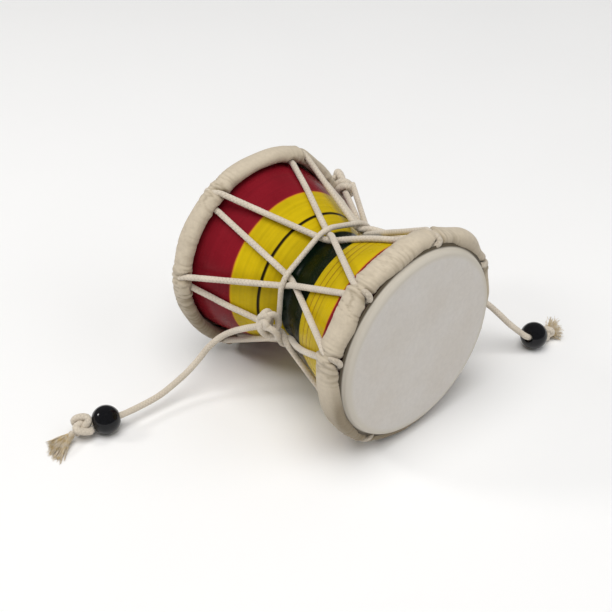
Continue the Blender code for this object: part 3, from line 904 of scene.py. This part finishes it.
def seen_from(azimuth, elevation):
    """The direction from the drum to a place at an angle around it and above the horizon."""
    level = math.cos(elevation)
    return Vector((math.sin(azimuth) * level, -math.cos(azimuth) * level, math.sin(elevation)))


def make_camera(view):
    back = seen_from(view.azimuth, view.elevation)
    right = Vector((math.cos(view.azimuth), math.sin(view.azimuth), 0))
    up = back.cross(right)
    data = bpy.data.cameras.new("camera")
    data.lens = view.lens
    data.sensor_width = 36
    data.clip_start = 0.01
    camera = bpy.data.objects.new("camera", data)
    bpy.context.scene.collection.objects.link(camera)
    place = Matrix((right, up, back)).transposed().to_4x4()
    place.translation = drum_centre + back * view.distance + right * view.right + up * view.up
    camera.matrix_world = place
    bpy.context.scene.camera = camera


def soft_light(name, power, size, azimuth, elevation, distance, tint, in_gloss):
    """A round soft light that faces the drum, and whether shiny surfaces mirror it."""
    data = bpy.data.lights.new(name, "AREA")
    data.shape = "DISK"
    data.energy, data.size, data.color = power, size, tint
    light = bpy.data.objects.new(name, data)
    bpy.context.scene.collection.objects.link(light)
    back = seen_from(math.radians(azimuth), math.radians(elevation))
    light.location = drum_centre + back * distance
    light.rotation_mode = "QUATERNION"
    light.rotation_quaternion = back.to_track_quat("Z", "Y")
    light.visible_glossy = in_gloss


def make_stage(view, colours):
    bm = bmesh.new()
    bmesh.ops.create_grid(bm, x_segments=8, y_segments=8, size=floor_half_size)
    floor = bpy.data.objects.new("floor", mesh_from(bm, "floor"))
    bpy.context.scene.collection.objects.link(floor)
    floor.data.materials.append(plain_floor(colours))
    soft_light("overhead", view.key, 2.0, 30, 74, 2.2, (1.0, 0.99, 0.975), False)
    soft_light("left", view.left, 0.24, -46, 33, 1.2, (1.0, 0.985, 0.96), True)
    soft_light("right", view.fill, 1.4, 120, 36, 1.8, (0.97, 0.985, 1.0), False)
    world = bpy.data.worlds.new("studio")
    world.use_nodes = True
    sky = world.node_tree.nodes["Background"]
    sky.inputs["Color"].default_value = (1, 1, 1, 1)
    sky.inputs["Strength"].default_value = view.sky
    bpy.context.scene.world = world
    bpy.context.scene.view_settings.view_transform = "Standard"


# Shell and skins

def make_shell(drum, cords, colours):
    rim_round = drum.head_edge_radius - drum.skin_thickness - cords.piece_gap
    half = shell_half_length(drum, cords)
    start = half - rim_round
    middle = rim_radius(drum, cords) - rim_round
    places = [-start + 2 * start * i / bowl_steps for i in range(bowl_steps + 1)]
    outside = [(x, shell_radius(drum, cords, x)) for x in places]
    end = []
    for degrees in (60, 30, 0):
        turn = math.radians(degrees)
        end.append((start + rim_round * math.cos(turn), middle + rim_round * math.sin(turn)))
    end.append((half, shell_radius(drum, cords, half) - drum.shell_wall))
    inside = [(x, radius - drum.shell_wall) for x, radius in outside[-3:1:-2]]
    other_end = [(-x, radius) for x, radius in end[::-1]]
    profile = [around(x, out, 0) for x, out in outside + end + inside + other_end]
    mesh = mesh_from(spun(profile, shell_turn_steps), "turned_shell")
    look = lacquered_wood(drum, colours)
    shell = piece_from("turned_shell", mesh, [look], "lacquered_wood", "shell")
    shell.data.set_sharp_from_angle(angle=math.radians(40))


def make_heads(drum, colours):
    """Skins that turn over the shell's rims and up the hoops' sides, a little slack."""
    look = drum_skin(drum, colours)
    half = drum.drum_length / 2
    edge = drum.head_edge_radius
    inner_edge = edge - drum.skin_thickness
    rim = drum.head_diameter / 2
    flat = rim - edge
    skirt = half - edge - drum.head_skirt
    for side, name in ((-1, "left"), (1, "right")):
        outer = [(half, flat * share) for share in (0, 0.25, 0.5, 0.7, 0.85, 0.94, 1)]
        inner = [(half - drum.skin_thickness, radius) for _, radius in outer]
        for degrees in (15, 30, 45, 60, 75, 90):
            turn = math.radians(degrees)
            for line, reach in ((outer, edge), (inner, inner_edge)):
                line.append((half - edge + reach * math.cos(turn), flat + reach * math.sin(turn)))
        hem = hoop_x(drum, side) + hoop_width(drum, side) * drum.collar_width_share
        collar = rim + drum.collar_rise
        outer += [(skirt, rim), (skirt - 0.0004, rim + 0.0009), (hem, collar)]
        inner += [(skirt, rim - drum.skin_thickness), (hem, collar - hem_thickness)]
        profile = [around(side * x, radius, 0) for x, radius in outer + inner[::-1]]
        mesh = mesh_from(spun(profile, shell_turn_steps), name + "_skin")
        for vertex in mesh.vertices:
            out = vertex.co - drum_centre
            slack = 1 - min(1, math.hypot(out.y, out.z) / flat) ** 2
            ripple = noise.noise(vertex.co * 55) * skin_ripple
            vertex.co.x -= side * (skin_slack * slack + ripple * min(1, slack * 4))
        piece_from(name + "_skin", mesh, [look], "drum_skin", name + "_head")


# Hoops

def loop_lobe(drum, degrees, loops):
    """1 at a lacing loop's middle, falling to 0 one lobe angle away from it."""
    lobe = math.degrees(drum.lobe_angle)
    nearest = min(abs(turn_between(sum(loop) / 2, degrees)) for loop in loops)
    return max(0.0, 1 - nearest / lobe) ** lobe_power


def pleat(drum, degrees, across, loops, radius):
    """How deep the hide's pleats are beside the nearest loop, from 0 to 1."""
    nearest = min((turn_between(loop[0], degrees) for loop in loops), key=abs)
    run = math.radians(nearest) * radius
    place = Vector((run * pleat_scale, across * pleat_scale, degrees * 0.02))
    wander = noise.noise(place) * pleat_wander
    wave = 0.5 + 0.5 * math.cos(2 * math.pi * run / drum.pleat_pitch + wander)
    return wave**3 * math.exp(-abs(run) / pleat_reach)


def smooth_share(value, low, high):
    share = max(0.0, min(1.0, (value - low) / (high - low)))
    return share * share * (3 - 2 * share)


def loop_bare(side, share):
    """How bare a loop lies at a share of its hoop's half width: the hide covers the rest."""
    if side < 0:
        return 1 - smooth_share(share, -0.25, 0.15)
    return 1 - smooth_share(share, -0.45, 0.0) + smooth_share(share, 0.4, 0.7)


def painted_edge_and_low_shade(headward, upward, height):
    """How much painted shade darkens the hide along a hoop's edges and low down.

    Headward runs over the hoop from -1 to 1, upward is how far its surface faces up, and
    height is where it is on the drum, from -1 to 1.
    """
    low = 0.4 * max(0, -upward) + 0.6 * smooth_share(-height, -0.1, 0.6)
    edges = 0.25 * max(0, -headward) ** 2 + (0.4 + 1.2 * low) * max(0, headward) ** 3
    return edges + low


def squared_off(wave, power):
    """A sine or cosine, squared off by a power below 1."""
    return math.copysign(abs(wave) ** power, wave)


def make_hoops(drum, cords, colours):
    """Padded rings, pressed in by the lacing, with folds across them and painted shade in the
    folds, grooves, edges and low down.
    """
    look = hoop_wrap(colours)
    centre_radius = hoop_centre_radius(drum, cords)
    route = smooth_route(lacing_route(drum, cords), knot_ring_step)
    lacing_radius = cords.lacing_diameter / 2
    for side, name in ((-1, "left"), (1, "right")):
        loops = hoop_loops[side]
        middle = hoop_x(drum, side)
        half_width = hoop_width(drum, side) / 2
        near = [point for point in route if side * point.x > middle - 3 * half_width]
        tree = kdtree.KDTree(len(near))
        for i, point in enumerate(near):
            tree.insert(point, i)
        tree.balance()
        profile = []
        for i in range(hoop_section_steps):
            turn = 2 * math.pi * i / hoop_section_steps
            x = half_width * squared_off(math.cos(turn), hoop_squareness[0])
            out = drum.hoop_thickness / 2 * squared_off(math.sin(turn), hoop_squareness[1])
            profile.append(around(side * middle + x, centre_radius + out, 0))
        mesh = mesh_from(spun(profile, drum.turn_steps), name + "_wrapped_hoop")
        painted_shade_values = []
        for vertex in mesh.vertices:
            out = vertex.co - drum_centre
            radius = math.hypot(out.y, out.z)
            degrees = math.degrees(math.atan2(out.z, out.y)) % 360
            lobe = loop_lobe(drum, degrees, loops)
            core = around(side * middle, centre_radius, degrees)
            outward = (vertex.co - core).normalized()
            outside = max(0.0, min(1.0, 0.5 + (radius - centre_radius) / drum.hoop_thickness))
            raised = drum.corner_rise * lobe + swell(degrees, hoop_swells[side]) * outside
            across = (out.x - side * middle) * (1 - drum.corner_pinch * lobe)
            x = side * (middle - drum.loop_pull * lobe) + across
            place = around(x, radius + raised, degrees)

            # Folds, pleats and soft padding
            run = math.radians(degrees) * centre_radius
            fold_place = (run * fold_scales[0], out.x * fold_scales[1], side * 7.0)
            fold = max(0, 1 - abs(noise.noise(Vector(fold_place))) * fold_sharpness)
            patch_place = (run * fold_patch_scale, side * 3.0, 1.7)
            patch = max(0, noise.noise(Vector(patch_place)) + 0.25 + 0.5 * lobe)
            crease = fold * min(1, patch)
            pleated = pleat(drum, degrees, across, loops, centre_radius) * outside
            soft = noise.noise(place * padding_scale) * padding_waves
            place -= outward * (drum.crease_depth * crease + drum.pleat_depth * pleated - soft)

            # The groove that the lacing presses, with a cheek on each side
            nearest, _, distance = tree.find(place)
            bare = loop_bare(side, across * side / half_width)
            away = distance / lacing_radius
            press = bare * math.exp(-((away / press_reach) ** 2))
            cheek = math.exp(-((away - cheek_place) ** 2))
            place -= outward * (drum.loop_press * press - drum.cheek_rise * cheek)
            offset = place - nearest
            if offset.length < lacing_radius * least_clearance:
                offset.length = lacing_radius * least_clearance
                place = nearest + offset
            vertex.co = place
            headward = side * (out.x - side * middle) / half_width
            # Painted shade, kept in the crease attribute: darker in the folds and pleats, in the
            # lacing's grooves, along the edges and low down
            painted_shade = 0.55 * crease + 0.45 * pleated + 0.5 * press
            painted_shade_values.append(min(1, painted_shade + painted_edge_and_low_shade(headward, outward.z, out.z / centre_radius)))
        marks = mesh.attributes.new("crease", "FLOAT", "POINT")
        marks.data.foreach_set("value", painted_shade_values)
        piece_from(name + "_wrapped_hoop", mesh, [look], "hoop_wrap", name + "_hoop")


# Lacing, waist cord and knots

def ring_route(centre, first, second, slant):
    """A closed oval around a point, between two half axes, tipped along a third."""
    points = []
    for i in range(ring_points):
        turn = 2 * math.pi * i / ring_points
        points.append(centre + first * math.cos(turn) + (second + slant) * math.sin(turn))
    return points


def closed_turn(name, route, diameter, height):
    """A closed turn of a knot's cord."""
    return cord_mesh(name, route, diameter, knot_ring_step, height, True)[0]


def lacing_knot(drum, cords, height):
    """The knot that ties the lacing's ends: a doubled loop, two turns around it, and tails."""
    start = lacing_knot_place(drum, cords, 0.30)
    node = around(cords.crossing_x, strand_levels(drum, cords)[1], waist_node_angles[-1])
    ahead = (node - lacing_knot_place(drum, cords, -0.4)).normalized()
    outward = (start - drum_centre) * Vector((0, 1, 1))
    across = ahead.cross(outward).normalized()
    outward = across.cross(ahead)
    thick = cords.lacing_diameter * bight_thickness
    reach = cords.lacing_knot_length / 2
    bight = []
    for i in range(bight_points):
        turn = 2 * math.pi * i / bight_points
        breadth = thick * (0.84 - 0.22 * math.cos(turn))
        offset = ahead * (reach * 0.75 * math.cos(turn)) + across * (breadth * math.sin(turn))
        offset += outward * knot_slant * math.sin(turn)
        bight.append(start + ahead * reach * 0.55 + offset)
    meshes = [closed_turn("lacing_bight", bight, thick, height)]
    for share in (1.0, 1.4):
        axes = (across * thick * 1.1, outward * thick * 0.95, ahead * knot_slant)
        ring = ring_route(start + ahead * reach * share, *axes)
        meshes.append(closed_turn("lacing_turn", ring, thick * 0.9, height))
    far = (node - start).length * 0.97
    diameter = cords.lacing_diameter * tail_thickness
    for side in (-1, 1):
        tail = [
            start + ahead * far * share + across * side * diameter * spread
            for share, spread in tail_way
        ]
        meshes.append(cord_mesh("lacing_tail", tail, diameter, knot_ring_step, height)[0])
    return meshes


def make_lacing(drum, cords, colours):
    height = braid(*lacing_braid)
    route = lacing_route(drum, cords)
    step = cords.ring_step
    lacing, _ = cord_mesh("lacing", route, cords.lacing_diameter, step, height, resolution=6)
    mesh = join_meshes("braided_lacing", [lacing] + lacing_knot(drum, cords, height))
    piece_from("braided_lacing", mesh, [lacing_look(colours)], "cotton_cord", "lacing_cord")


def make_waist_cord(drum, cords, colours):
    route = waist_cord_route(drum, cords)
    diameter = cords.waist_cord_diameter
    tube = closed_turn("waist_binding", route, diameter, braid(*lacing_braid))
    mesh = join_meshes("waist_binding", [tube])
    piece_from("waist_binding", mesh, [lacing_look(colours)], "cotton_cord", "waist_cord")


def make_tie_knots(cords, colours):
    """The knots on the waist cord: two turns around the strands, a loop and an overhand."""
    height = braid(*striker_braid)
    diameter = cords.striker_cord_diameter
    along = axis_vector
    for name in ("left", "right"):
        centre = box_centre(name + "_tie_knot")
        out = (centre - drum_centre) * Vector((0, 1, 1))
        out.normalize()
        upward = out.cross(along)
        turns = [
            (centre - along * 0.0030, upward * 0.0058, out * 0.0044, along * 0.0008),
            (centre + along * 0.0006, upward * 0.0062, out * 0.0047, along * -0.0012),
            (
                centre + along * 0.0022 - upward * 0.0030 + out * 0.0014,
                (along + upward * 0.5).normalized() * 0.0048,
                (upward - along * 0.3).normalized() * 0.0040,
                out * 0.0022,
            ),
        ]
        meshes = []
        for place, *axes in turns:
            route = ring_route(place - out * 0.0010, *axes)
            meshes.append(closed_turn(name + "_turn", route, diameter, height))
        size = [measure - diameter for measure in overhand_size]
        place = centre + out * 0.0016 + upward * 0.0030 - along * 0.0008
        route = overhand_route(place, (upward * 0.5 + along).normalized(), out, size)
        meshes.append(closed_turn(name + "_overhand", route, diameter, height))
        mesh = join_meshes(name + "_waist_knot", meshes)
        look = striker_look(colours)
        piece_from(name + "_waist_knot", mesh, [look], "cotton_cord", name + "_tie_knot")


# Strikers

def make_striker_cords(cords, strikers, colours):
    height = braid(*striker_braid)
    diameter = cords.striker_cord_diameter
    radius = strikers.bead_diameter / 2
    for name, route, direction in (
        ("left", left_cord_route, left_bead_direction),
        ("right", right_cord_route, right_bead_direction),
    ):
        bead = box_centre(name + "_bead")
        points = [box_centre(name + "_tie_knot")] + [moved(point) for point in route]
        points += [bead - direction * radius, bead, bead + direction * radius]
        tube, line = cord_mesh(name, points, diameter, striker_ring_step, height, resolution=8)
        mesh = join_meshes(name + "_striker_line", [tube])
        look = striker_look(colours)
        node = name + "_striker_cord"
        cord = piece_from(name + "_striker_line", mesh, [look], "cotton_cord", node)


def make_beads(cords, strikers, colours):
    look = black_bead(colours)
    radius = strikers.bead_diameter / 2
    bore = cords.striker_cord_diameter / 2 + strikers.bead_bore_clearance
    edge = strikers.bead_edge
    start = math.asin((bore + edge) / radius)
    mouth = radius * math.cos(start) - edge * 0.3
    for name, direction in (("left", left_bead_direction), ("right", right_bead_direction)):
        profile = []
        for i in range(bead_steps + 1):
            turn = start + (math.pi - 2 * start) * i / bead_steps
            profile.append((radius * math.cos(turn), radius * math.sin(turn)))
        profile += [(-mouth, bore + edge * 0.3), (-mouth + edge, bore)]
        profile += [(mouth - edge, bore), (mouth, bore + edge * 0.3)]
        corners = [Vector((x, out, 0)) for x, out in profile]
        bm = spun(corners, bead_turn_steps, (0, 0, 0))
        turn = axis_vector.rotation_difference(direction).to_matrix().to_4x4()
        place = Matrix.Translation(box_centre(name + "_bead")) @ turn
        bmesh.ops.transform(bm, matrix=place, verts=bm.verts)
        mesh = mesh_from(bm, name + "_round_bead")
        piece_from(name + "_round_bead", mesh, [look], "black_bead", name + "_bead")


def fibre_bundle(name, start, locks, strikers, seed, lift, droop):
    """Threads of a frayed cord end, in locks that fan out from a knot and sink to the floor.

    A lock is a heading in degrees and a reach. Lift is how high the highest threads rise,
    and droop how far they come down again.
    """
    diameter = strikers.fibre_diameter
    curve = bpy.data.curves.new(name, "CURVE")
    curve.dimensions = "3D"
    curve.bevel_depth = diameter / 2
    curve.bevel_resolution = 0
    curve.use_fill_caps = True
    draws = np.random.default_rng(seed)
    for number in range(strikers.fibres):
        heading, reach = locks[number % len(locks)]
        scatter = float(np.clip(draws.normal(0, 0.5), -1, 1))
        turn = math.radians(heading + heading_spread * scatter)
        size = reach * float(draws.uniform(*thread_lengths))
        bend = float(np.clip(draws.normal(0, bend_spread), -most_bend, most_bend))
        rise = float(draws.uniform(0, 1))
        root = np.clip(draws.normal(0, root_spread, 3), -most_root_spread, most_root_spread)
        origin = start + Vector(root.tolist())
        spline = curve.splines.new("POLY")
        spline.points.add(fibre_steps)
        for i, spot in enumerate(spline.points):
            share = i / fibre_steps
            way = turn + math.radians(bend) * share
            ahead = Vector((math.cos(way), math.sin(way), 0))
            beside = Vector((-ahead.y, ahead.x, 0))
            ground = 0.0004 + lift * rise * math.sin(math.pi * min(1, share * droop + 0.4))
            level = origin.z + (ground - origin.z) * min(1, share * 1.3)
            sway = sway_reach * share * noise.noise(origin * 900 + Vector((share * 3, 0, 0)))
            place = origin + ahead * size * share + beside * sway
            spot.co = (place.x, place.y, max(level, diameter), 1)
            spot.radius = 1.0 - 0.5 * share
    mesh = mesh_of_curve(curve)
    for face in mesh.polygons:
        face.material_index = 1
    return mesh


def end_knot_place(strikers, size, gap, bead, direction):
    """The middle of the stop knot that touches a bead and lies no lower than the floor."""
    reach = strikers.bead_diameter / 2 + size / 2 + gap
    drop = min(-direction.z * reach, bead.z - size / 2 - gap)
    ahead = Vector((direction.x, direction.y, 0)).normalized()
    return bead + ahead * math.sqrt(reach**2 - drop**2) - Vector((0, 0, drop))


def make_end_knots(cords, strikers, colours):
    """Stop knots beyond the beads, each with a short neck of cord that frays out."""
    height = braid(*striker_braid)
    diameter = cords.striker_cord_diameter
    upward = Vector((0, 0, 1))
    for seed, (name, direction, share, neck_share, neck_level, fall, locks) in enumerate(tufts):
        size = strikers.end_knot_diameter * share
        bead = box_centre(name + "_bead")
        centre = end_knot_place(strikers, size, cords.piece_gap, bead, direction)
        centre -= direction * strikers.end_knot_nestle
        lengthwise = direction.cross(upward).normalized()
        inner = (size * 1.2 - diameter, size * 1.12 - diameter, size - diameter)
        route = overhand_route(centre, lengthwise, direction, inner)
        lowest = min(point.z for point in route) - diameter / 2
        route = [point + upward * max(0, cords.piece_gap - lowest) for point in route]
        knot = closed_turn(name + "_stop_knot", route, diameter * 1.1, height)
        heading = math.radians(sum(lock[0] for lock in locks) / len(locks))
        step = Vector((math.cos(heading), math.sin(heading), 0)) * neck_share
        level = Vector((centre.x, centre.y, diameter * neck_level))
        route = [centre, centre.lerp(level, 0.5) + step * size * 0.35]
        route += [level + step * size * 0.6, level + step * (size * 0.5 + neck_length)]
        neck, _ = cord_mesh(name + "_neck", route, diameter * 0.95, knot_ring_step, height)
        start = route[-1] - step * neck_length / 2
        tuft = fibre_bundle(name + "_tuft", start, locks, strikers, seed, *fall)
        mesh = join_meshes(name + "_frayed_knot", [knot, neck, tuft])
        looks = [striker_look(colours), look_named("frayed_cotton", frayed_cotton, colours)]
        piece_from(name + "_frayed_knot", mesh, looks, "cotton_cord", name + "_end_knot")


# Operators

def settings(context, *names):
    """The scene's groups of sizes and colours with these names."""
    return [getattr(context.scene, "damaru_" + name) for name in names]


class DAMARU_OT_camera(Operator):
    """Place the camera at the photograph's angle"""

    bl_idname = "damaru.camera"
    bl_label = "Camera"

    def execute(self, context):
        make_camera(*settings(context, "view"))
        return {"FINISHED"}


class DAMARU_OT_beads(Operator):
    """Make the two round striker beads"""

    bl_idname = "damaru.beads"
    bl_label = "Beads"

    def execute(self, context):
        make_beads(*settings(context, "cords", "strikers", "colours"))
        return {"FINISHED"}


class DAMARU_OT_end_knots(Operator):
    """Tie the stop knots and fray the cords' ends"""

    bl_idname = "damaru.end_knots"
    bl_label = "End knots"

    def execute(self, context):
        make_end_knots(*settings(context, "cords", "strikers", "colours"))
        return {"FINISHED"}


class DAMARU_OT_tie_knots(Operator):
    """Tie the strikers' knots on the waist cord"""

    bl_idname = "damaru.tie_knots"
    bl_label = "Waist knots"

    def execute(self, context):
        make_tie_knots(*settings(context, "cords", "colours"))
        return {"FINISHED"}


class DAMARU_OT_striker_cords(Operator):
    """Lay the two free striker cords"""

    bl_idname = "damaru.striker_cords"
    bl_label = "Striker cords"

    def execute(self, context):
        make_striker_cords(*settings(context, "cords", "strikers", "colours"))
        return {"FINISHED"}


class DAMARU_OT_shell(Operator):
    """Turn the lacquered wooden shell"""

    bl_idname = "damaru.shell"
    bl_label = "Shell"

    def execute(self, context):
        make_shell(*settings(context, "drum", "cords", "colours"))
        return {"FINISHED"}


class DAMARU_OT_heads(Operator):
    """Stretch the two skins"""

    bl_idname = "damaru.heads"
    bl_label = "Heads"

    def execute(self, context):
        make_heads(*settings(context, "drum", "colours"))
        return {"FINISHED"}


class DAMARU_OT_hoops(Operator):
    """Make the two padded, wrapped hoops"""

    bl_idname = "damaru.hoops"
    bl_label = "Hoops"

    def execute(self, context):
        make_hoops(*settings(context, "drum", "cords", "colours"))
        return {"FINISHED"}


class DAMARU_OT_lacing(Operator):
    """Lace the hoops together"""

    bl_idname = "damaru.lacing"
    bl_label = "Lacing"

    def execute(self, context):
        make_lacing(*settings(context, "drum", "cords", "colours"))
        return {"FINISHED"}


class DAMARU_OT_waist_cord(Operator):
    """Bind the cord around the waist"""

    bl_idname = "damaru.waist_cord"
    bl_label = "Waist cord"

    def execute(self, context):
        make_waist_cord(*settings(context, "drum", "cords", "colours"))
        return {"FINISHED"}


class DAMARU_OT_stage(Operator):
    """Set up the floor and the studio light"""

    bl_idname = "damaru.stage"
    bl_label = "Stage"

    def execute(self, context):
        make_stage(*settings(context, "view", "colours"))
        return {"FINISHED"}


operators = (
    DAMARU_OT_camera,
    DAMARU_OT_beads,
    DAMARU_OT_end_knots,
    DAMARU_OT_tie_knots,
    DAMARU_OT_striker_cords,
    DAMARU_OT_shell,
    DAMARU_OT_heads,
    DAMARU_OT_hoops,
    DAMARU_OT_lacing,
    DAMARU_OT_waist_cord,
    DAMARU_OT_stage,
)
property_groups = {
    "damaru_drum": DamaruDrum,
    "damaru_cords": DamaruCords,
    "damaru_strikers": DamaruStrikers,
    "damaru_colours": DamaruColours,
    "damaru_view": DamaruView,
}


class DAMARU_PT_sidebar(Panel):
    """The drum's values and the steps that make it"""

    bl_label = "Damaru drum"
    bl_space_type = "VIEW_3D"
    bl_region_type = "UI"
    bl_category = "Damaru"

    def draw(self, context):
        for step in operators:
            self.layout.operator(step.bl_idname)
        for name, group in property_groups.items():
            box = self.layout.box()
            for value in group.__annotations__:
                box.prop(getattr(context.scene, name), value)


def register():
    for made in (*property_groups.values(), *operators, DAMARU_PT_sidebar):
        bpy.utils.register_class(made)
    for name, group in property_groups.items():
        setattr(bpy.types.Scene, name, PointerProperty(type=group))


def unregister():
    for name in property_groups:
        delattr(bpy.types.Scene, name)
    for made in (DAMARU_PT_sidebar, *reversed(operators), *property_groups.values()):
        bpy.utils.unregister_class(made)


def main():
    register()
    for step in operators:
        getattr(bpy.ops.damaru, step.bl_idname.split(".")[1])()


if __name__ == "__main__":
    main()
